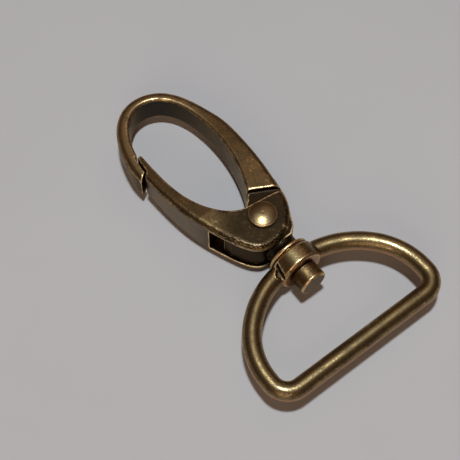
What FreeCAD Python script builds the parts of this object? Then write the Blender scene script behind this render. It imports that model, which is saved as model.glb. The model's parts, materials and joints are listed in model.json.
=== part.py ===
import FreeCAD, Part
import Sketcher
import math
import os

# Swivel snap hook with a D-ring for 25 mm webbing.
# Every outline is drawn about the gate pivot: the swivel axis is the line x = 0 in the mid plane z = 0,
# +Y runs up the hook, away from the D-ring, and +Z is the side with the rivet head.

V = FreeCAD.Vector

SIZES = (
    # the loop of the hook
    ("loop_length", 26.3, "inside of the loop, along the hook"),
    ("loop_width", 11.9, "inside of the loop, across the hook"),
    ("loop_base", 2.75, "bottom of the loop above the pivot"),
    ("loop_shift", -2.35, "middle of the loop from the swivel axis"),
    ("crown_width", 1.95, "bow seen from above, at the top of the loop"),
    ("root_width", 5.3, "arm seen from above, where it meets the tongue"),
    ("crown_height", 5.0, "bow from side to side at the top of the loop"),
    ("root_height", 6.8, "arm from side to side at its root"),
    ("bow_round", 1.15, "rounding of the outer long edges of the bow"),
    ("loop_round", 0.5, "rounding of the inner long edges of the bow"),
    # tongue, neck and flange
    ("tongue_height", 5.0, "tongue between the cheeks of the gate"),
    ("tongue_inset", 0.5, "tongue edge inside the gate edge"),
    ("neck_width", 4.9, "round neck between the tongue and the flange"),
    ("flange_width", 7.0, "flange that the D-ring collar turns on"),
    ("flange_length", 0.7, "flange along the swivel axis"),
    ("flange_face", 6.7, "from the pivot to the flange face"),
    # gate
    ("pivot_shift", -0.2, "pivot from the swivel axis"),
    ("cheek_height", 1.1, "wall of one cheek"),
    ("cheek_gap", 0.1, "between a cheek and the tongue"),
    ("gate_edge", 0.95, "rounding of the outer rims of the gate"),
    ("gate_round", 0.3, "rounding of the inner rims of the gate"),
    ("tip_height", 4.7, "gate from side to side at its lip"),
    ("web_end", 4.4, "from the pivot level to the solid part of the gate"),
    ("lip_length", 3.1, "lip that lies in the rebate of the nose"),
    ("lip_width", 0.8, "lip seen from above"),
    ("lip_gap", 0.35, "between the lip and the rebate"),
    # rivet and spring
    ("rivet_width", 2.4, "shank of the rivet"),
    ("rivet_head", 4.5, "domed head"),
    ("rivet_dome", 0.95, "height of the dome"),
    ("rivet_tail", 3.6, "formed tail"),
    ("tail_height", 0.45, "height of the formed tail"),
    ("running_gap", 0.05, "clearance of each turning fit, on the radius"),
    ("end_gap", 0.1, "play along a turning axis, each side"),
    ("spring_wire", 0.5, "wire of the torsion spring"),
    ("spring_pitch", 0.56, "from turn to turn of the spring"),
    ("spring_turns", 3.0, "turns of the torsion spring"),
    ("spring_room", 0.3, "room around the spring"),
    ("coil_gap", 0.35, "between the rivet and the coil"),
    # swivel stud and D-ring
    ("stud_width", 3.4, "shank of the swivel stud"),
    ("stud_head", 4.6, "head of the swivel stud"),
    ("stud_head_length", 2.7, "head along the swivel axis"),
    ("stud_grip", 3.0, "length pressed into the neck"),
    ("collar_width", 7.6, "outside of the D-ring collar"),
    ("collar_length", 3.0, "collar along the swivel axis"),
    ("wire_width", 3.0, "round bar of the D-ring"),
    ("ring_inside", 27.2, "widest inside of the D-ring"),
    ("ring_depth", 15.7, "from the collar middle to the middle of the straight bar"),
    ("corner_radius", 2.9, "bends beside the straight bar, to the middle of the wire"),
    ("side_radius", 11.3, "bends of the sides, to the middle of the wire"),
    ("side_turn", 42.0, "degrees that each side turns before its shoulder"),
    ("shoulder_radius", 14.9, "bends beside the collar, to the middle of the wire"),
    ("side_flat", 0.7, "straight stretch above each corner"),
    ("notch_level", 0.95, "flat of the casting notch beside the collar, above the mid plane"),
)

doc = FreeCAD.newDocument("swivel_hook")
sheet = doc.addObject("Spreadsheet::Sheet", "Sizes")
for row, (alias, value, meaning) in enumerate(SIZES, start=1):
    sheet.set("A%d" % row, meaning)
    sheet.set("B%d" % row, str(value))
    sheet.setAlias("B%d" % row, alias)
doc.recompute()


def size(alias):
    """A driving dimension, read back from the sheet."""
    return float(sheet.get(alias))


# ---------------------------------------------------------------- shared places

PIVOT = V(size("pivot_shift"), 0, 0)
GATE_HEIGHT = size("tongue_height") + 2 * (size("cheek_gap") + size("cheek_height"))
COLLAR_TOP = -size("flange_face") - size("end_gap")
COLLAR_MIDDLE = COLLAR_TOP - size("collar_length") / 2
COLLAR_BOTTOM = COLLAR_TOP - size("collar_length")
BAR_LEVEL = COLLAR_MIDDLE - size("ring_depth")
LOWEST = BAR_LEVEL - size("wire_width") / 2
LOOP_TOP = size("loop_base") + size("loop_length")
HIGHEST = LOOP_TOP + size("crown_width")
TAIL_FACE = GATE_HEIGHT / 2 + size("end_gap") + size("tail_height")

# The finished part stands on its rivet tail, centred over the origin.
AT_HOME = FreeCAD.Placement(V(0, -(LOWEST + HIGHEST) / 2, TAIL_FACE), FreeCAD.Rotation())


def in_loop(across, along):
    """A point of the loop outline, as shares of half the loop's width and of its length."""
    x = size("loop_shift") + across * size("loop_width") / 2
    y = size("loop_base") + along * size("loop_length")
    return V(x, y, 0)


def about_pivot(x, y):
    return PIVOT + V(x, y, 0)


def polar(centre, radius, degrees):
    angle = math.radians(degrees)
    return centre + V(math.cos(angle), math.sin(angle), 0) * radius


# ---------------------------------------------------------------- building helpers

def new_body(label):
    body = doc.addObject("PartDesign::Body", label)
    body.Label = label
    body.Placement = AT_HOME
    return body


def new_sketch(body, role, name, geometry, offset=None):
    """A sketch on one of the body's own origin planes, or at an offset from it."""
    sketch = body.newObject("Sketcher::SketchObject", name)
    plane = [feature for feature in body.Origin.OriginFeatures if feature.Role == role][0]
    sketch.AttachmentSupport = [(plane, "")]
    sketch.MapMode = "FlatFace"
    if offset is not None:
        sketch.AttachmentOffset = offset
    sketch.addGeometry(geometry, False)
    doc.recompute()
    return sketch


def lines(points, closed=True):
    ends = points[1:] + points[:1] if closed else points[1:]
    return [Part.LineSegment(a, b) for a, b in zip(points, ends)]


def smooth(points):
    curve = Part.BSplineCurve()
    curve.interpolate(points)
    return curve


def circle_sketch(body, role, name, centre, width_expression, offset=None):
    """A circle whose radius follows the sheet."""
    sketch = new_sketch(body, role, name, [Part.Circle(centre, V(0, 0, 1), 1.0)], offset)
    index = sketch.addConstraint(Sketcher.Constraint("Radius", 0, 1.0))
    sketch.setExpression("Constraints[%d]" % index, "(%s) / 2" % width_expression)
    doc.recompute()
    return sketch


def pad(body, sketch, name, length_expression):
    feature = body.newObject("PartDesign::Pad", name)
    feature.Profile = sketch
    feature.Midplane = True
    feature.setExpression("Length", length_expression)
    doc.recompute()
    return feature


def pocket(body, sketch, name, length_expression=None):
    """A pocket cut evenly to both sides of its sketch; right through where no length is given."""
    before = body.Shape.Volume
    feature = body.newObject("PartDesign::Pocket", name)
    feature.Profile = sketch
    feature.Midplane = True
    if length_expression is None:
        feature.Type = "ThroughAll"
    else:
        feature.setExpression("Length", length_expression)
    doc.recompute()
    if not body.Shape.Volume < before:
        raise RuntimeError(name + " cuts nothing")
    return feature


def revolve(body, sketch, name, axis):
    feature = body.newObject("PartDesign::Revolution", name)
    feature.Profile = sketch
    feature.ReferenceAxis = (sketch, [axis])
    feature.Angle = 360
    doc.recompute()
    return feature


def fillet(body, base, name, test, expression):
    """Rounds the edges of base that pass the test."""
    feature = body.newObject("PartDesign::Fillet", name)
    edges = ["Edge%d" % (i + 1) for i, edge in enumerate(base.Shape.Edges) if test(edge)]
    feature.Base = (base, edges)
    feature.setExpression("Radius", expression)
    doc.recompute()
    return feature


# ---------------------------------------------------------------- the bow of the hook

# Stations along the inner edge of the bow, from nose to arm root: shares of the loop's half width and length,
# then how far the section has grown from crown to root in width and in height.
BOW = (
    (-1.10, 0.545, 0.07, 0.00),
    (-1.07, 0.736, 0.05, 0.00),
    (-0.80, 0.892, 0.05, 0.00),
    (-0.40, 0.981, 0.03, 0.00),
    (-0.01, 1.000, 0.00, 0.00),
    (0.44, 0.960, 0.00, 0.00),
    (0.79, 0.852, 0.02, 0.02),
    (0.98, 0.671, 0.18, 0.20),
    (0.99, 0.473, 0.33, 0.65),
    (0.83, 0.272, 0.57, 0.92),
    (0.69, 0.177, 0.76, 0.97),
    (0.52, 0.093, 1.00, 1.00),
)
INNER_EDGE = smooth([in_loop(across, along) for across, along, _, _ in BOW])


def outward_at(point):
    """The direction square to the inner edge, out of the loop."""
    along = INNER_EDGE.tangent(INNER_EDGE.parameter(point))[0]
    return V(-along.y, along.x, 0).normalize()


def bow_section(width, height):
    """Lines and arcs from (0, -height/2) to (width, height/2), with rounded corners."""
    outer = size("bow_round")
    inner = size("loop_round")
    arcs = []
    corners = ((width, height / 2, outer), (0, height / 2, inner),
               (0, -height / 2, inner), (width, -height / 2, outer))
    for quarter, (x, y, radius) in enumerate(corners):
        start = math.pi / 2 * quarter
        toward = V(radius if x == 0 else -radius, -radius if y > 0 else radius, 0)
        circle = Part.Circle(V(x, y, 0) + toward, V(0, 0, 1), radius)
        arcs.append(Part.ArcOfCircle(circle, start, start + math.pi / 2))
    edges = []
    for arc, following in zip(arcs, arcs[1:] + arcs[:1]):
        edges += [arc, Part.LineSegment(arc.EndPoint, following.StartPoint)]
    return edges


def bow_sections(body):
    sketches = []
    for number, (across, along, wider, taller) in enumerate(BOW, start=1):
        width = size("crown_width") + wider * (size("root_width") - size("crown_width"))
        height = size("crown_height") + taller * (size("root_height") - size("crown_height"))
        start = in_loop(across, along)
        outward = outward_at(start)
        facing = FreeCAD.Rotation(outward, V(0, 0, 1), outward.cross(V(0, 0, 1)), "ZXY")
        sketches.append(new_sketch(body, "XY_Plane", "Section%d" % number, bow_section(width, height),
                                   FreeCAD.Placement(start, facing)))
    return sketches


def loft(body, sketches, name):
    feature = body.newObject("PartDesign::AdditiveLoft", name)
    feature.Profile = sketches[0]
    feature.Sections = sketches[1:]
    doc.recompute()
    return feature


# ---------------------------------------------------------------- outlines shared by gate and tongue

# The lip stands in a rebate of the nose; the shoulder of the gate and the end of the nose run parallel.
LIP_LEAN = 0.3
LIP_TIP = in_loop(-1.0, 0.697)
LIP_ROOT = LIP_TIP - V(size("lip_width") + LIP_LEAN, size("lip_length"), 0)
SHOULDER = LIP_ROOT - V(0.95, 1.0, 0)

# Outer edge of the gate, from its shoulder down to the bend below the pivot, and on to the heel.
GATE_OUTER = [SHOULDER, in_loop(-1.29, 0.34), in_loop(-1.17, 0.16),
              about_pivot(-7.95, 3.1), about_pivot(-6.55, -0.35), about_pivot(-4.9, -3.3)]
GATE_BEND = about_pivot(-3.75, -4.35)
GATE_HEEL = [about_pivot(-2.2, -4.75), about_pivot(-0.2, -4.65), about_pivot(1.9, -3.95)]
# Right-hand edge of the cheeks, up to the ear.
EAR = [about_pivot(1.9, -3.95), about_pivot(3.95, -1.7), about_pivot(4.95, 0.4), about_pivot(5.1, 1.5)]
EAR_TOP = [about_pivot(5.0, 2.0), about_pivot(-1.1, 2.7)]
# Inner edge of the gate, from the ear back up to the lip.
GATE_INNER = [about_pivot(-1.1, 2.7), about_pivot(-3.4, 3.8), about_pivot(-5.5, 6.1),
              in_loop(-0.9, 0.32), in_loop(-0.99, 0.5), LIP_TIP]


def spline_inside(points, inset):
    """The same smooth edge moved to the left of its direction of travel."""
    curve = smooth(points)
    moved = []
    for point in points:
        along = curve.tangent(curve.parameter(point))[0]
        moved.append(point + V(-along.y, along.x, 0) * inset)
    return moved


# ---------------------------------------------------------------- hook body

def tongue_outline():
    """The plate between the cheeks: it follows the gate's outer edge, then the neck and the arm."""
    edge = spline_inside(GATE_OUTER[3:] + [GATE_BEND] + GATE_HEEL[:1], size("tongue_inset"))[1:]
    end = [about_pivot(-2.4, 2.8), edge[0] + V(-0.35, 1.55, 0)]
    foot = [V(-1.9, -4.7, 0), V(1.9, -4.7, 0)]
    right = [V(3.1, -3.6, 0), V(4.2, -1.3, 0), V(5.2, 0.9, 0), V(5.5, 2.4, 0), V(5.85, 4.6, 0)]
    arm = [V(2.4, 8.2, 0), V(0.9, 5.1, 0), V(-0.9, 3.3, 0)]
    return ([Part.LineSegment(end[0], end[1]), Part.LineSegment(end[1], edge[0])]
            + [smooth(edge)]
            + lines([edge[-1]] + foot + right[:1], closed=False)
            + [smooth(right)]
            + lines([right[-1], arm[0]], closed=False)
            + [smooth(arm), Part.LineSegment(arm[-1], end[0])])


FLANGE_ROUND = 0.2
NECK_FLARE = 0.8
NECK_LENGTH = 1.8


def neck_outline():
    """Half section of the neck and its flange, right of the swivel axis."""
    neck = size("neck_width") / 2
    flange = size("flange_width") / 2
    face = -size("flange_face")
    back = face + size("flange_length")
    edge = V(flange - FLANGE_ROUND, 0, 0)
    flare = V(neck, back + NECK_FLARE, 0)
    top = V(neck, flare.y + NECK_LENGTH, 0)
    return [Part.LineSegment(V(0, face, 0), edge + V(0, face, 0)),
            Part.Arc(edge + V(0, face, 0), V(flange, (face + back) / 2, 0), edge + V(0, back, 0)),
            Part.Arc(edge + V(0, back, 0), V(neck + NECK_FLARE / 4, back + NECK_FLARE / 3, 0), flare),
            Part.LineSegment(flare, top),
            Part.LineSegment(top, V(0, top.y, 0)),
            Part.LineSegment(V(0, top.y, 0), V(0, face, 0))]


def rebate_outline():
    """What is cut from the nose to make room for the lip and the shoulder."""
    gap = size("lip_gap")
    step = LIP_TIP + V(-size("lip_width") - gap, gap / 3, 0)
    inside = step + V(2.2, 1.1, 0)
    root = LIP_ROOT + V(-gap, 0, 0)
    outside = root - V(2.4, 1.6, 0)
    below = V(0, 2 * size("lip_length"), 0)
    return lines([inside, step, root, outside, outside - below, inside - 2 * below])


SPRING_REACH = size("rivet_width") / 2 + size("coil_gap") + size("spring_wire")
SPRING_HEIGHT = "(Sizes.spring_wire * (Sizes.spring_turns + 1) + 2 * Sizes.spring_room)"
GATE_LEG_END = about_pivot(-6.3, 5.4)
BODY_LEG_END = about_pivot(4.1, 1.9)


def spring_seat_outline():
    """The slot in the tongue: round the coil, and open towards the solid part of the gate."""
    reach = SPRING_REACH + size("spring_room")
    right = polar(PIVOT, reach, 60)
    left = polar(PIVOT, reach, 160)
    mouth = [left + V(-3.2, 2.8, 0), right + V(-1.2, 3.2, 0)]
    return [Part.Arc(right, polar(PIVOT, reach, -90), left)] + lines([left] + mouth + [right], closed=False)


def slot_outline(start, end, room):
    """A straight slot for one leg of the spring, from start to a little beyond end."""
    along = (end - start).normalize()
    side = V(-along.y, along.x, 0) * ((size("spring_wire") + room) / 2)
    finish = end + along * size("end_gap") * 2
    return lines([start + side, finish + side, finish - side, start - side])


def coil_tangent(end, side):
    """Where the straight leg that ends at a point leaves the coil; side is 1 or -1."""
    radius = SPRING_REACH - size("spring_wire") / 2
    away = end - PIVOT
    angle = math.atan2(away.y, away.x) + side * math.acos(radius / away.Length)
    return polar(PIVOT, radius, math.degrees(angle))


GATE_LEG_START = coil_tangent(GATE_LEG_END, -1)
BODY_LEG_START = coil_tangent(BODY_LEG_END, 1)


def make_hook_body():
    body = new_body("hook_body")
    bow = loft(body, bow_sections(body), "Bow")
    pocket(body, new_sketch(body, "XY_Plane", "RebateOutline", rebate_outline()), "Rebate")
    tongue = new_sketch(body, "XY_Plane", "TongueOutline", tongue_outline())
    pad(body, tongue, "Tongue", "Sizes.tongue_height")
    revolve(body, new_sketch(body, "XY_Plane", "NeckOutline", neck_outline()), "Neck", "V_Axis")
    seat = new_sketch(body, "XY_Plane", "SeatOutline", spring_seat_outline())
    pocket(body, seat, "SpringSeat", SPRING_HEIGHT)
    leg = slot_outline(BODY_LEG_START, BODY_LEG_END, 2 * size("running_gap"))
    pocket(body, new_sketch(body, "XY_Plane", "LegOutline", leg), "LegSlot", SPRING_HEIGHT)
    pocket(body, circle_sketch(body, "XY_Plane", "PivotCircle", PIVOT, "Sizes.rivet_width"), "PivotHole")
    bottom = FreeCAD.Placement(V(0, 0, size("flange_face") - size("stud_grip") / 2), FreeCAD.Rotation())
    pocket(body, circle_sketch(body, "XZ_Plane", "StudCircle", V(0, 0, 0), "Sizes.stud_width", bottom),
           "StudBore", "Sizes.stud_grip")
    return body


# ---------------------------------------------------------------- gate

def gate_outline():
    lip_out = LIP_TIP - V(size("lip_width"), 0.1, 0)
    return ([smooth(GATE_OUTER + [GATE_BEND] + GATE_HEEL)]
            + [smooth(EAR)]
            + lines([EAR[-1]] + EAR_TOP, closed=False)
            + [smooth(GATE_INNER)]
            + lines([LIP_TIP, lip_out, LIP_ROOT, SHOULDER], closed=False))


def taper_outline(side):
    """Wedge that thins the gate towards its lip; side is 1 above the mid plane and -1 below."""
    start = 5.5
    end = LIP_TIP.y + size("lip_gap")
    slope = (GATE_HEIGHT - size("tip_height")) / 2 / (LIP_TIP.y - start)
    full = side * GATE_HEIGHT / 2
    low = side * (GATE_HEIGHT / 2 - slope * (end - start))
    return lines([V(start, full, 0), V(end, low, 0), V(end, full + side, 0), V(start, full + side, 0)])


def cheek_slot_outline():
    """Everything between the cheeks, below the solid part of the gate."""
    outside, inside, below = -9.6, 7, -7
    web = [about_pivot(outside, size("web_end") - 2), about_pivot(-3.6, size("web_end") + 0.8)]
    return lines(web + [about_pivot(inside, 6), about_pivot(inside, below), about_pivot(outside, below)])


def is_rim(edge, points):
    """Whether an edge is a rim of either face and runs along the smooth outline through some points."""
    curved = isinstance(edge.Curve, Part.BSplineCurve) and edge.BoundBox.ZLength < edge.Length / 2
    middle = edge.valueAt((edge.FirstParameter + edge.LastParameter) / 2)
    away = Part.Vertex(V(middle.x, middle.y, 0)).distToShape(smooth(points).toShape())[0]
    return curved and away < size("gate_round")


def is_outer_rim(edge):
    return is_rim(edge, GATE_OUTER + [GATE_BEND] + GATE_HEEL) or is_rim(edge, EAR)


def is_inner_rim(edge):
    return is_rim(edge, GATE_INNER)


def make_gate():
    body = new_body("gate")
    blank = pad(body, new_sketch(body, "XY_Plane", "GateOutline", gate_outline()), "Blank",
                "Sizes.tongue_height + 2 * (Sizes.cheek_gap + Sizes.cheek_height)")
    for side, name in ((1, "TopTaper"), (-1, "BottomTaper")):
        cut = pocket(body, new_sketch(body, "YZ_Plane", name + "Outline", taper_outline(side)), name)
    outer = fillet(body, cut, "OuterRims", is_outer_rim, "Sizes.gate_edge")
    fillet(body, outer, "InnerRims", is_inner_rim, "Sizes.gate_round")
    pocket(body, new_sketch(body, "XY_Plane", "CheekOutline", cheek_slot_outline()), "CheekSlot",
           "Sizes.tongue_height + 2 * Sizes.cheek_gap")
    pocket(body, circle_sketch(body, "XY_Plane", "RivetCircle", PIVOT,
                               "Sizes.rivet_width + 2 * Sizes.running_gap"), "RivetHole")
    groove = slot_outline(GATE_LEG_START, GATE_LEG_END, size("spring_room"))
    pocket(body, new_sketch(body, "XY_Plane", "GrooveOutline", groove), "LegGroove", SPRING_HEIGHT)
    return body


# ---------------------------------------------------------------- rivet, stud and spring

def rivet_outline():
    """Half section right of the rivet's own axis, tail at the bottom and dome at the top."""
    shank = size("rivet_width") / 2
    head = size("rivet_head") / 2
    tail = size("rivet_tail") / 2
    face = GATE_HEIGHT / 2 + size("end_gap") / 2
    rim = 0.45
    edge = 0.2
    dimple_width = 0.6
    dimple_depth = 0.04
    top = face + size("rivet_dome")
    rise = top - face - rim
    dome = (head * head + rise * rise) / (2 * rise)
    half_way = math.asin(head / dome) / 2
    crest = V(dome * math.sin(half_way), top - dome + dome * math.cos(half_way), 0)
    low = -GATE_HEIGHT / 2 - size("end_gap") / 2
    foot = -TAIL_FACE
    dimple = V(dimple_width / 2, top - dome + math.sqrt(dome * dome - dimple_width ** 2 / 4), 0)
    bottom = V(0, dimple.y - dimple_depth, 0)
    return [Part.LineSegment(V(0, foot, 0), V(tail - edge, foot, 0)),
            Part.LineSegment(V(tail - edge, foot, 0), V(tail, low, 0)),
            Part.LineSegment(V(tail, low, 0), V(shank, low, 0)),
            Part.LineSegment(V(shank, low, 0), V(shank, face, 0)),
            Part.LineSegment(V(shank, face, 0), V(head, face, 0)),
            Part.LineSegment(V(head, face, 0), V(head, face + rim, 0)),
            Part.Arc(V(head, face + rim, 0), crest, dimple),
            Part.LineSegment(dimple, bottom),
            Part.LineSegment(bottom, V(0, foot, 0))]


def make_rivet():
    body = new_body("gate_rivet")
    at_pivot = FreeCAD.Placement(V(PIVOT.x, 0, 0), FreeCAD.Rotation())
    sketch = new_sketch(body, "XZ_Plane", "RivetOutline", rivet_outline(), at_pivot)
    revolve(body, sketch, "Rivet", "V_Axis")
    return body


def stud_outline():
    """Half section right of the swivel axis."""
    shank = size("stud_width") / 2
    head = size("stud_head") / 2
    top = size("stud_grip") - size("flange_face")
    under = COLLAR_BOTTOM - size("end_gap")
    foot = under - size("stud_head_length")
    rim = 0.35
    round_middle = polar(V(head - rim, foot + rim, 0), rim, -45)
    return [Part.LineSegment(V(0, top, 0), V(0, foot, 0)),
            Part.LineSegment(V(0, foot, 0), V(head - rim, foot, 0)),
            Part.Arc(V(head - rim, foot, 0), round_middle, V(head, foot + rim, 0)),
            Part.LineSegment(V(head, foot + rim, 0), V(head, under, 0)),
            Part.LineSegment(V(head, under, 0), V(shank, under, 0)),
            Part.LineSegment(V(shank, under, 0), V(shank, top, 0)),
            Part.LineSegment(V(shank, top, 0), V(0, top, 0))]


def make_stud():
    body = new_body("swivel_stud")
    revolve(body, new_sketch(body, "XY_Plane", "StudOutline", stud_outline()), "Stud", "V_Axis")
    return body


def wire_leg(start, end, level):
    """A straight end of the spring wire, which starts a little inside the end of the coil."""
    along = (end - start).normalize()
    inside = 0.1
    thinner = 0.01
    base = start - along * inside + V(0, 0, level)
    return Part.makeCylinder(size("spring_wire") / 2 - thinner, (end - start).Length + inside, base, along)


def make_spring():
    """A coil about the rivet with one leg in the gate and one in the tongue."""
    wire = size("spring_wire")
    radius = SPRING_REACH - wire / 2
    pitch = size("spring_pitch")
    first = math.atan2(BODY_LEG_START.y - PIVOT.y, BODY_LEG_START.x - PIVOT.x)
    last = math.atan2(GATE_LEG_START.y - PIVOT.y, GATE_LEG_START.x - PIVOT.x)
    turns = math.floor(size("spring_turns")) + ((last - first) / (2 * math.pi)) % 1 - 1
    rise = pitch * turns
    helix = Part.makeHelix(pitch, rise, radius)
    helix.Placement = FreeCAD.Placement(PIVOT - V(0, 0, rise / 2),
                                        FreeCAD.Rotation(V(0, 0, 1), math.degrees(first)))
    start = helix.Edges[0]
    section = Part.Wire([Part.makeCircle(wire / 2, start.valueAt(start.FirstParameter),
                                         start.tangentAt(start.FirstParameter))])
    coil = Part.Wire(helix.Edges).makePipeShell([section], True, True)
    spring = coil.fuse([wire_leg(BODY_LEG_START, BODY_LEG_END, -rise / 2),
                        wire_leg(GATE_LEG_START, GATE_LEG_END, rise / 2)])
    feature = doc.addObject("Part::Feature", "gate_spring")
    feature.Label = "gate_spring"
    feature.Shape = spring.removeSplitter()
    feature.Placement = AT_HOME
    return feature


# ---------------------------------------------------------------- D-ring

def ring_half():
    """Middle line of the wire on the right side: collar, shoulder, side, flat, corner, bar."""
    wide = size("ring_inside") / 2 + size("wire_width") / 2
    corner = V(wide - size("corner_radius"), BAR_LEVEL + size("corner_radius"), 0)
    flat_top = V(wide, corner.y + size("side_flat"), 0)
    side = flat_top - V(size("side_radius"), 0, 0)
    turn = size("side_turn")
    side_end = polar(side, size("side_radius"), turn)
    shoulder = polar(side_end, -size("shoulder_radius"), turn)
    wall_middle = (size("stud_width") + size("collar_width")) / 4 - size("running_gap")
    start_angle = math.degrees(math.acos((wall_middle - shoulder.x) / size("shoulder_radius")))
    return [Part.Arc(polar(shoulder, size("shoulder_radius"), start_angle),
                     polar(shoulder, size("shoulder_radius"), (start_angle + turn) / 2), side_end),
            Part.Arc(side_end, polar(side, size("side_radius"), turn / 2), flat_top),
            Part.LineSegment(flat_top, V(wide, corner.y, 0)),
            Part.Arc(V(wide, corner.y, 0), polar(corner, size("corner_radius"), -45),
                     V(corner.x, BAR_LEVEL, 0))]


def mirrored(geometry):
    """The same edges on the left side, in the opposite order of travel."""
    flipped = []
    for edge in reversed(geometry):
        ends = [V(-point.x, point.y, 0) for point in (edge.EndPoint, edge.StartPoint)]
        if isinstance(edge, Part.LineSegment):
            flipped.append(Part.LineSegment(*ends))
        else:
            middle = edge.value((edge.FirstParameter + edge.LastParameter) / 2)
            flipped.append(Part.Arc(ends[0], V(-middle.x, middle.y, 0), ends[1]))
    return flipped


def collar_outline():
    bore = size("stud_width") / 2 + size("running_gap")
    outside = size("collar_width") / 2
    rim = 0.3
    points = [V(bore, COLLAR_BOTTOM, 0), V(outside - rim, COLLAR_BOTTOM, 0),
              V(outside, COLLAR_BOTTOM + rim, 0), V(outside, COLLAR_TOP - rim, 0),
              V(outside - rim, COLLAR_TOP, 0), V(bore, COLLAR_TOP, 0)]
    return lines(points)


def notch_outline():
    """The small three-cornered notch in the top of the wire, where it meets the collar."""
    side = -size("collar_width") / 2
    return lines([V(side + 0.9, COLLAR_TOP - 0.1, 0), V(side - 0.6, COLLAR_MIDDLE - 0.35, 0),
                  V(side + 0.4, COLLAR_BOTTOM - 0.05, 0)])


def make_ring():
    body = new_body("d_ring")
    right = ring_half()
    left = mirrored(right)
    bar = Part.LineSegment(right[-1].EndPoint, left[0].StartPoint)
    path = new_sketch(body, "XY_Plane", "RingLine", right + [bar] + left)
    start = right[0].StartPoint
    along = right[0].tangent(right[0].FirstParameter)[0]
    facing = FreeCAD.Rotation(V(0, 0, 1).cross(along), V(0, 0, 1), along, "ZXY")
    section = circle_sketch(body, "XY_Plane", "WireCircle", V(0, 0, 0), "Sizes.wire_width",
                            FreeCAD.Placement(start, facing))
    pipe = body.newObject("PartDesign::AdditivePipe", "Wire")
    pipe.Profile = section
    pipe.Spine = (path, ["Edge%d" % (number + 1) for number in range(len(path.Shape.Edges))])
    doc.recompute()
    revolve(body, new_sketch(body, "XY_Plane", "CollarOutline", collar_outline()), "Collar", "V_Axis")
    reach = V(size("collar_width"), 0, 0)
    low = V(0, COLLAR_TOP, 0)
    high = low + V(0, size("wire_width"), 0)
    above = lines([low - reach, low + reach, high + reach, high - reach])
    pocket(body, new_sketch(body, "XY_Plane", "FaceOutline", above), "CollarFace")
    raised = FreeCAD.Placement(V(0, 0, size("wire_width")), FreeCAD.Rotation())
    pocket(body, new_sketch(body, "XY_Plane", "NotchOutline", notch_outline(), raised), "Notch",
           "2 * (Sizes.wire_width - Sizes.notch_level)")
    return body


# ---------------------------------------------------------------- build, check and write

parts = [make_hook_body(), make_gate(), make_rivet(), make_spring(), make_stud(), make_ring()]
doc.recompute()
for item in doc.Objects:
    if "Invalid" in item.State or "Error" in item.State:
        raise RuntimeError("%s is in state %s" % (item.Name, item.State))
for part in parts:
    if part.Shape.isNull() or not part.Shape.isValid() or len(part.Shape.Solids) != 1:
        raise RuntimeError("%s is not one valid solid" % part.Label)

os.makedirs("parts", exist_ok=True)
for part in parts:
    part.Shape.exportStep(os.path.join("parts", part.Label + ".step"))
    print("%-12s %8.2f mm3" % (part.Label, part.Shape.Volume), part.Shape.optimalBoundingBox())
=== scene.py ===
import bpy
import json
import math
import numpy as np
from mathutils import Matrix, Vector


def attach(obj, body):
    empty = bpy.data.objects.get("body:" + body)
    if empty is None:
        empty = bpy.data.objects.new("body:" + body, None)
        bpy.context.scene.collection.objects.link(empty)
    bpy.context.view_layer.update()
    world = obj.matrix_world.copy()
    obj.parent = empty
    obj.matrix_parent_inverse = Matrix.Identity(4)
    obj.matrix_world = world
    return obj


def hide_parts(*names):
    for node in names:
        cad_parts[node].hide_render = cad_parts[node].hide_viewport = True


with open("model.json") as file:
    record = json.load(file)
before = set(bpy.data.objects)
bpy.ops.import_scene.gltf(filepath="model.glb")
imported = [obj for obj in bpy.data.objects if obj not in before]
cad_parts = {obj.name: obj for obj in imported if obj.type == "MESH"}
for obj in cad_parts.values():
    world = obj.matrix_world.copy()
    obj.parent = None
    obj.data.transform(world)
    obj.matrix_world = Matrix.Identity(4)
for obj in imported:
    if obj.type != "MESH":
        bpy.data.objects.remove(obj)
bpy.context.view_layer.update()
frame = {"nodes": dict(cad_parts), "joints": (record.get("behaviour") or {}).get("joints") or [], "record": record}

MM = 0.001


# ---------------------------------------------------------------- node helpers

def new_material(name):
    material = bpy.data.materials.new(name)
    material.use_nodes = True
    tree = material.node_tree
    shader = tree.nodes["Principled BSDF"]
    return material, tree, shader


def node(tree, kind, **settings):
    made = tree.nodes.new(kind)
    for key, value in settings.items():
        setattr(made, key, value)
    return made


def noise(tree, place, size_mm, detail=3.0, roughness=0.5):
    """Noise whose largest lumps are about size_mm across."""
    made = node(tree, "ShaderNodeTexNoise")
    made.inputs["Scale"].default_value = 1 / (size_mm * MM)
    made.inputs["Detail"].default_value = detail
    made.inputs["Roughness"].default_value = roughness
    tree.links.new(place, made.inputs["Vector"])
    return made.outputs["Fac"]


def ramp(tree, value, low, high):
    """0 below low, 1 above high, smooth between them."""
    made = node(tree, "ShaderNodeMapRange", interpolation_type="SMOOTHSTEP", clamp=True)
    made.inputs["From Min"].default_value = low
    made.inputs["From Max"].default_value = high
    tree.links.new(value, made.inputs["Value"])
    return made.outputs["Result"]


def math_node(tree, operation, first, second):
    made = node(tree, "ShaderNodeMath", operation=operation, use_clamp=True)
    for socket, value in zip(made.inputs, (first, second)):
        if isinstance(value, (int, float)):
            socket.default_value = value
        else:
            tree.links.new(value, socket)
    return made.outputs[0]


def mix(tree, amount, first, second):
    """A colour between first and second."""
    made = node(tree, "ShaderNodeMix", data_type="RGBA")
    tree.links.new(amount, made.inputs["Factor"])
    for socket, value in ((made.inputs[6], first), (made.inputs[7], second)):
        if isinstance(value, tuple):
            socket.default_value = (*value, 1)
        else:
            tree.links.new(value, socket)
    return made.outputs[2]


# ---------------------------------------------------------------- materials

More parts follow.
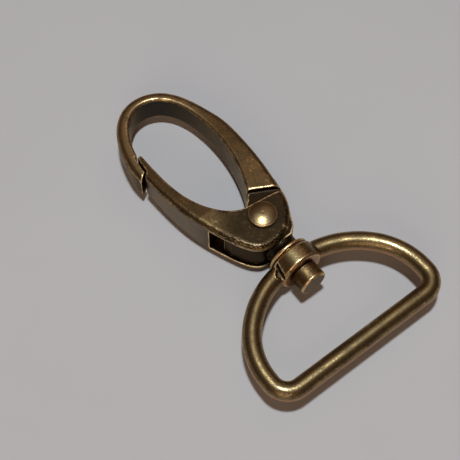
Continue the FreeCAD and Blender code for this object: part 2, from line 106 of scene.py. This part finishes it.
GOLD = (0.80, 0.60, 0.32)
BRASS = (0.34, 0.24, 0.112)
HOOK_BRASS = (0.28, 0.198, 0.090)
GATE_BRASS = (0.27, 0.19, 0.085)
RIVET_BRASS = (0.31, 0.235, 0.12)
RING_BRASS = (0.30, 0.232, 0.108)
PATINA = (0.055, 0.036, 0.019)
RIVET_PATINA = (0.15, 0.11, 0.055)
RING_PATINA = (0.085, 0.060, 0.030)
WALL = (0.185, 0.165, 0.142)
LOOP_WALL = (0.030, 0.026, 0.022)
STUD_WALL = (0.075, 0.068, 0.06)
# Painted reflection: the ring's sides get a brighter, redder colour that paints the warm light bounced up from the
# floor.
RING_SIDE_PAINTED_BOUNCE = (0.44, 0.23, 0.105)
GRAZING_TINT = (0.90, 0.72, 0.54, 1)
DARK_STEEL = (0.10, 0.09, 0.08)
PALE_STEEL = (0.42, 0.40, 0.38)

# Sizes of the patterns in the metal, and the reach of the painted shade in the recesses.
BLOTCH_MM = 2.2
SPECKLE_MM = 0.30
GRAIN_MM = 0.12
STREAK_MM = 0.4
BUMP_MM = 0.04
RECESS_MM = 2.0

# How the patina wears: the mottling is about 0.5 on average.
MEAN_MOTTLING = 0.5
LEAST_WORN = 0.12
FULLY_WORN = 0.14

# Shares that darken a colour; the unrubbed share also paints shade on the tongue and the recess share paints shade
# in the recesses.
WALL_SHADE = 0.75
UNRUBBED_SHADE = 0.4
RECESS_SHADE = 0.3

# Roughness of the patina, of rubbed metal, of the lacquer and of the spring, and how strong the bumps are.
PATINA_ROUGHNESS = 0.48
RUBBED_ROUGHNESS = 0.27
COAT_ROUGHNESS = 0.2
STEEL_ROUGHNESS = 0.35
BUMP_STRENGTH = 0.6
SPECKLE_WEIGHT = 0.6

# Where each mask begins and where it is full.
TOP_FACING = (0.10, 0.45)
NARROW = (0.15, 0.6)
CORNERED = (-0.25, -0.9)
EDGE_RELIEF = (0.15, 0.6)
EDGE_WEAR = (0.25, 0.62)
SCRATCHES = (0.53, 0.70)
SCRATCHED_PATCHES = (0.35, 0.6)
WALL_TONES = (0.35, 0.65)
CROWN_WEAR = (0.3, 0.7)

# Places on the hook and the gate that wear or darken more than the rest; the tongue is darkened partly with
# painted shade.
TONGUE_TOP_MM = 7.0
ARM_STEP_MM = 2.4
CROWN_MM = 17.0
CROWN_BLUR_MM = 11.0
CROWN_SHARE = 0.45
CHEEK_REACH = (5.5 * MM, 11.0 * MM)
CHEEK_RAGGED_MM = 1.2
CHEEK_SHARE = 0.93
PIVOT = Vector(next(joint["pos_m"] for joint in frame["joints"] if joint["name"] == "gate_pivot"))


def product(tree, first, second):
    return math_node(tree, "MULTIPLY", first, second)


def inverse(tree, value):
    return math_node(tree, "SUBTRACT", 1.0, value)


def blend(tree, share, first, second):
    """A share of the first value and the rest of the second."""
    return math_node(tree, "ADD", product(tree, first, share), product(tree, second, 1 - share))


def darker(colour, share):
    return tuple(share * part for part in colour)


def along_axis(tree, vector, axis):
    split = node(tree, "ShaderNodeSeparateXYZ")
    tree.links.new(vector, split.inputs[0])
    return split.outputs[axis]


def lower_than(tree, place, axis, limit_mm, blur_mm=0.15):
    """1 where the coordinate is below the limit, 0 above it."""
    return inverse(tree, ramp(tree, along_axis(tree, place, axis),
                              (limit_mm - blur_mm) * MM, (limit_mm + blur_mm) * MM))


def dark_tongue(tree, place, blotches):
    """The tongue lies in the shade of the cheeks and the arm, and nothing rubs it."""
    low = lower_than(tree, place, "Z", TONGUE_TOP_MM)
    return product(tree, low, lower_than(tree, place, "Y", ARM_STEP_MM))


def dark_cheek(tree, place, blotches):
    """The patina is thickest on the cheek round the rivet and thins out along the gate."""
    offset = node(tree, "ShaderNodeVectorMath", operation="SCALE")
    offset.inputs["Scale"].default_value = CHEEK_RAGGED_MM * MM
    tree.links.new(blotches, offset.inputs[0])
    ragged = node(tree, "ShaderNodeVectorMath", operation="ADD")
    tree.links.new(place, ragged.inputs[0])
    tree.links.new(offset.outputs[0], ragged.inputs[1])
    from_pivot = node(tree, "ShaderNodeVectorMath", operation="DISTANCE")
    tree.links.new(ragged.outputs[0], from_pivot.inputs[0])
    from_pivot.inputs[1].default_value = PIVOT
    near = inverse(tree, ramp(tree, from_pivot.outputs["Value"], *CHEEK_REACH))
    return product(tree, near, CHEEK_SHARE)


def polished_crown(tree, place, mottled):
    """Whatever hangs in the hook rubs its crown bright."""
    rubbed = inverse(tree, lower_than(tree, place, "Y", CROWN_MM, blur_mm=CROWN_BLUR_MM))
    return product(tree, rubbed, product(tree, ramp(tree, mottled, *CROWN_WEAR), CROWN_SHARE))


def recesses(tree, relief):
    """1 in narrow gaps and inner corners, 0 on open faces; there patina and painted shade darken the metal."""
    hollow = node(tree, "ShaderNodeAmbientOcclusion", samples=8)
    hollow.inputs["Distance"].default_value = RECESS_MM * MM
    narrow = ramp(tree, inverse(tree, hollow.outputs["AO"]), *NARROW)
    return math_node(tree, "MAXIMUM", narrow, ramp(tree, relief, *CORNERED))


def add_bump(tree, shader, speckle, grain):
    bump = node(tree, "ShaderNodeBump")
    bump.inputs["Strength"].default_value = BUMP_STRENGTH
    bump.inputs["Distance"].default_value = BUMP_MM * MM
    lumps = blend(tree, SPECKLE_WEIGHT, speckle, grain)
    tree.links.new(lumps, bump.inputs["Height"])
    tree.links.new(bump.outputs["Normal"], shader.inputs["Normal"])


def set_gloss(tree, shader, worn, coat):
    """Rubbed metal is glossier than patina."""
    rough = node(tree, "ShaderNodeMapRange")
    rough.inputs["To Min"].default_value = PATINA_ROUGHNESS
    rough.inputs["To Max"].default_value = RUBBED_ROUGHNESS
    tree.links.new(worn, rough.inputs["Value"])
    tree.links.new(rough.outputs["Result"], shader.inputs["Roughness"])
    shader.inputs["Metallic"].default_value = 1.0
    shader.inputs["Specular Tint"].default_value = GRAZING_TINT
    shader.inputs["Coat Weight"].default_value = coat
    shader.inputs["Coat Roughness"].default_value = COAT_ROUGHNESS


def antique_brass(name, brass, patina, wall, rub=0.5, patina_and_shade_mask=None, polished=None, coat=0.15):
    """Brass under a dark patina that is rubbed off the top faces and edges and left on walls and in recesses. The
    recesses are darkened further with painted shade, and the ring's wall colour is a painted reddish bounce light.

    The mesh attribute "relief" is about 0 on plain faces, positive on worn edges and negative in corners.
    """
    material, tree, shader = new_material(name)
    place = node(tree, "ShaderNodeTexCoord").outputs["Object"]
    relief = node(tree, "ShaderNodeAttribute", attribute_name="relief").outputs["Fac"]
    normal = node(tree, "ShaderNodeNewGeometry").outputs["Normal"]
    blotches = noise(tree, place, BLOTCH_MM, detail=4, roughness=0.6)
    speckle = noise(tree, place, SPECKLE_MM, detail=3, roughness=0.7)
    grain = noise(tree, place, GRAIN_MM, detail=2)
    mottled = blend(tree, 0.5, blotches, speckle)

    worn = ramp(tree, mottled, MEAN_MOTTLING - LEAST_WORN * (1 + rub), MEAN_MOTTLING + FULLY_WORN)
    scratched = ramp(tree, product(tree, speckle, ramp(tree, blotches, *SCRATCHED_PATCHES)), *SCRATCHES)
    face = mix(tree, worn, patina, brass)
    side = mix(tree, ramp(tree, blotches, *WALL_TONES), wall, darker(wall, WALL_SHADE))
    # Deep patina darkens the gate's cheek; on the hook's tongue this darkening is painted shade as well as patina.
    if patina_and_shade_mask is not None:
        bare_and_lit = inverse(tree, patina_and_shade_mask(tree, place, blotches))
        worn = product(tree, worn, bare_and_lit)
        scratched = product(tree, scratched, bare_and_lit)
        patina_and_shade_colour = darker(patina, UNRUBBED_SHADE)
        side = mix(tree, bare_and_lit, patina_and_shade_colour, side)
        face = mix(tree, bare_and_lit, patina_and_shade_colour, face)
    face = mix(tree, scratched, face, GOLD)
    if polished is not None:
        face = mix(tree, polished(tree, place, mottled), face, GOLD)

    on_top = ramp(tree, math_node(tree, "ABSOLUTE", along_axis(tree, normal, "Z"), 0), *TOP_FACING)
    edge = ramp(tree, product(tree, relief, ramp(tree, mottled, *EDGE_WEAR)), *EDGE_RELIEF)
    colour = mix(tree, on_top, side, face)
    colour = mix(tree, edge, colour, GOLD)
    # Painted shade: gaps and inner corners go darker than the patina, partly patina in the hollows, partly painted
    # shade.
    colour = mix(tree, recesses(tree, relief), colour, darker(patina, RECESS_SHADE))
    tree.links.new(colour, shader.inputs["Base Color"])
    set_gloss(tree, shader, worn, coat)
    add_bump(tree, shader, speckle, grain)
    return material


def spring_steel():
    material, tree, shader = new_material("spring steel")
    place = node(tree, "ShaderNodeTexCoord").outputs["Object"]
    streaks = noise(tree, place, STREAK_MM, detail=4)
    tree.links.new(mix(tree, streaks, DARK_STEEL, PALE_STEEL), shader.inputs["Base Color"])
    shader.inputs["Metallic"].default_value = 1.0
    shader.inputs["Roughness"].default_value = STEEL_ROUGHNESS
    return material


FINISHES = {
    "hook_body": antique_brass("antique brass hook", HOOK_BRASS, PATINA, LOOP_WALL,
                               patina_and_shade_mask=dark_tongue, polished=polished_crown),
    "gate": antique_brass("antique brass gate", GATE_BRASS, PATINA, WALL, patina_and_shade_mask=dark_cheek),
    "gate_rivet": antique_brass("antique brass rivet", RIVET_BRASS, RIVET_PATINA, WALL, rub=1.5, coat=0.4),
    "swivel_stud": antique_brass("antique brass stud", BRASS, PATINA, STUD_WALL),
    "d_ring": antique_brass("antique brass ring", RING_BRASS, RING_PATINA, RING_SIDE_PAINTED_BOUNCE, coat=0.45),
    "gate_spring": spring_steel(),
}


# ---------------------------------------------------------------- castings

# Name of the piece, voxel size in mm and rounds of smoothing that turn each machined solid into a casting.
CASTING = {
    "hook_body": ("hook_casting", 0.122, 5),
    "gate": ("gate_casting", 0.09, 5),
    "gate_rivet": ("domed_rivet", 0.07, 4),
    "swivel_stud": ("headed_stud", 0.07, 5),
    "d_ring": ("ring_casting", 0.118, 5),
}
# How far the relief looks around, the height that counts as 1, and the most that is kept.
RELIEF_REACH = 0.35 * MM
RELIEF_UNIT = 0.04 * MM
RELIEF_LIMIT = 1.5


def spread(values, ends, counts):
    """Each vertex takes half its own value and half the mean of its neighbours' values."""
    total = np.zeros_like(values)
    np.add.at(total, ends[:, 0], values[ends[:, 1]])
    np.add.at(total, ends[:, 1], values[ends[:, 0]])
    return 0.5 * values + 0.5 * total / counts


def read_rows(items, attribute, width, kind):
    """One row of numbers for each vertex or edge."""
    values = np.empty(len(items) * width, dtype=kind)
    items.foreach_get(attribute, values)
    return values.reshape(-1, width)


def add_relief(mesh, voxel):
    """How far each vertex stands out of its smoothed surroundings, as an attribute for the materials."""
    count = len(mesh.vertices)
    places = read_rows(mesh.vertices, "co", 3, float)
    normals = read_rows(mesh.vertices, "normal", 3, float)
    ends = read_rows(mesh.edges, "vertices", 2, np.int64)
    counts = np.bincount(ends.ravel(), minlength=count).reshape(-1, 1)
    smoothed = places
    for _ in range(round((RELIEF_REACH / voxel) ** 2)):
        smoothed = spread(smoothed, ends, counts)
    height = ((places - smoothed) * normals).sum(axis=1) / RELIEF_UNIT
    layer = mesh.attributes.new("relief", "FLOAT", "POINT")
    layer.data.foreach_set("value", np.clip(height, -RELIEF_LIMIT, RELIEF_LIMIT))


def make_casting(node_name, piece_name, voxel, rounds):
    """A softly edged copy of a CAD node's solid that stands for it."""
    cad_node = frame["nodes"][node_name]
    draft = bpy.data.objects.new("draft", cad_node.data.copy())
    bpy.context.scene.collection.objects.link(draft)
    remesh = draft.modifiers.new("Voxels", "REMESH")
    remesh.mode = "VOXEL"
    remesh.voxel_size = voxel
    soften = draft.modifiers.new("Soft edges", "SMOOTH")
    soften.factor = 0.5
    soften.iterations = rounds
    graph = bpy.context.evaluated_depsgraph_get()
    mesh = bpy.data.meshes.new_from_object(draft.evaluated_get(graph), depsgraph=graph)
    bpy.data.objects.remove(draft)
    mesh.name = piece_name
    mesh.polygons.foreach_set("use_smooth", [True] * len(mesh.polygons))
    add_relief(mesh, voxel)
    mesh.materials.clear()
    mesh.materials.append(FINISHES[node_name])
    piece = bpy.data.objects.new(piece_name, mesh)
    bpy.context.scene.collection.objects.link(piece)
    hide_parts(node_name)
    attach(piece, body_of[node_name])


behaviour = frame["record"]["behaviour"]
body_of = {node_name: body for body, members in behaviour["bodies"].items() for node_name in members}
for node_name, (piece_name, voxel_mm, rounds) in CASTING.items():
    make_casting(node_name, piece_name, voxel_mm * MM, rounds)

spring = frame["nodes"]["gate_spring"]
spring.data.polygons.foreach_set("use_smooth", [True] * len(spring.data.polygons))
for material_slot in spring.material_slots:
    material_slot.material = FINISHES["gate_spring"]


# ---------------------------------------------------------------- floor, light and camera

PAPER = ((0.485, 0.495, 0.520), (0.512, 0.522, 0.546))
PAPER_CLOUD_MM = 25.0
FLOOR_SIZE = 3.0

# Name, azimuth and elevation in degrees, distance and diameter in m, power in W and colour.
LIGHTS = (
    ("key", -37, 89, 0.5, 0.05, 1.75, (0.955, 0.99, 1.0)),
    ("front", -44, 28, 0.6, 0.45, 0.8, (1.0, 0.74, 0.52)),
    ("fill", 120, 50, 0.6, 0.35, 0.12, (1.0, 0.70, 0.50)),
)
ROOM_COLOUR = (1.0, 0.48, 0.30, 1)
ROOM_STRENGTH = 0.09

AIM = Vector((-4.5, -0.15, 4.25)) * MM
VIEW_AZIMUTH = -37.385
VIEW_ELEVATION = 61.5
VIEW_DISTANCE = 156.25 * MM
LENS_MM = 78.26
SENSOR_MM = 36.0
NEAREST_SEEN = 5 * MM


def make_floor():
    bpy.ops.mesh.primitive_plane_add(size=FLOOR_SIZE, location=(0, 0, 0))
    floor = bpy.context.object
    floor.name = "floor"
    material, tree, shader = new_material("pale paper")
    place = node(tree, "ShaderNodeTexCoord").outputs["Object"]
    tint = mix(tree, noise(tree, place, PAPER_CLOUD_MM, detail=2), *PAPER)
    tree.links.new(tint, shader.inputs["Base Color"])
    shader.inputs["Roughness"].default_value = 0.75
    shader.inputs["Specular IOR Level"].default_value = 0.2
    floor.data.materials.append(material)


def away(azimuth, elevation):
    """The direction from the object to a viewer at that azimuth and elevation."""
    turn = math.radians(azimuth)
    rise = math.radians(elevation)
    return Vector((math.sin(turn) * math.cos(rise), -math.cos(turn) * math.cos(rise), math.sin(rise)))


def stand_off(thing, azimuth, elevation, distance):
    """Puts a light or a camera at a distance from the object and turns it towards the object."""
    toward = away(azimuth, elevation)
    thing.location = AIM + toward * distance
    thing.rotation_euler = toward.to_track_quat("Z", "Y").to_euler()
    bpy.context.scene.collection.objects.link(thing)


def area_light(name, azimuth, elevation, distance, size, power, colour):
    """A round soft light."""
    data = bpy.data.lights.new(name, "AREA")
    data.shape = "DISK"
    data.size = size
    data.energy = power
    data.color = colour
    stand_off(bpy.data.objects.new(name, data), azimuth, elevation, distance)


def make_room():
    """The dim warm light that comes from all around."""
    room = bpy.data.worlds.new("studio")
    room.use_nodes = True
    background = room.node_tree.nodes["Background"]
    background.inputs["Color"].default_value = ROOM_COLOUR
    background.inputs["Strength"].default_value = ROOM_STRENGTH
    bpy.context.scene.world = room


def make_camera():
    lens = bpy.data.cameras.new("camera")
    lens.lens = LENS_MM
    lens.sensor_width = SENSOR_MM
    lens.clip_start = NEAREST_SEEN
    camera = bpy.data.objects.new("camera", lens)
    stand_off(camera, VIEW_AZIMUTH, VIEW_ELEVATION, VIEW_DISTANCE)
    bpy.context.scene.camera = camera


make_floor()
for light in LIGHTS:
    area_light(*light)
make_room()
make_camera()
bpy.context.scene.view_settings.view_transform = "Standard"
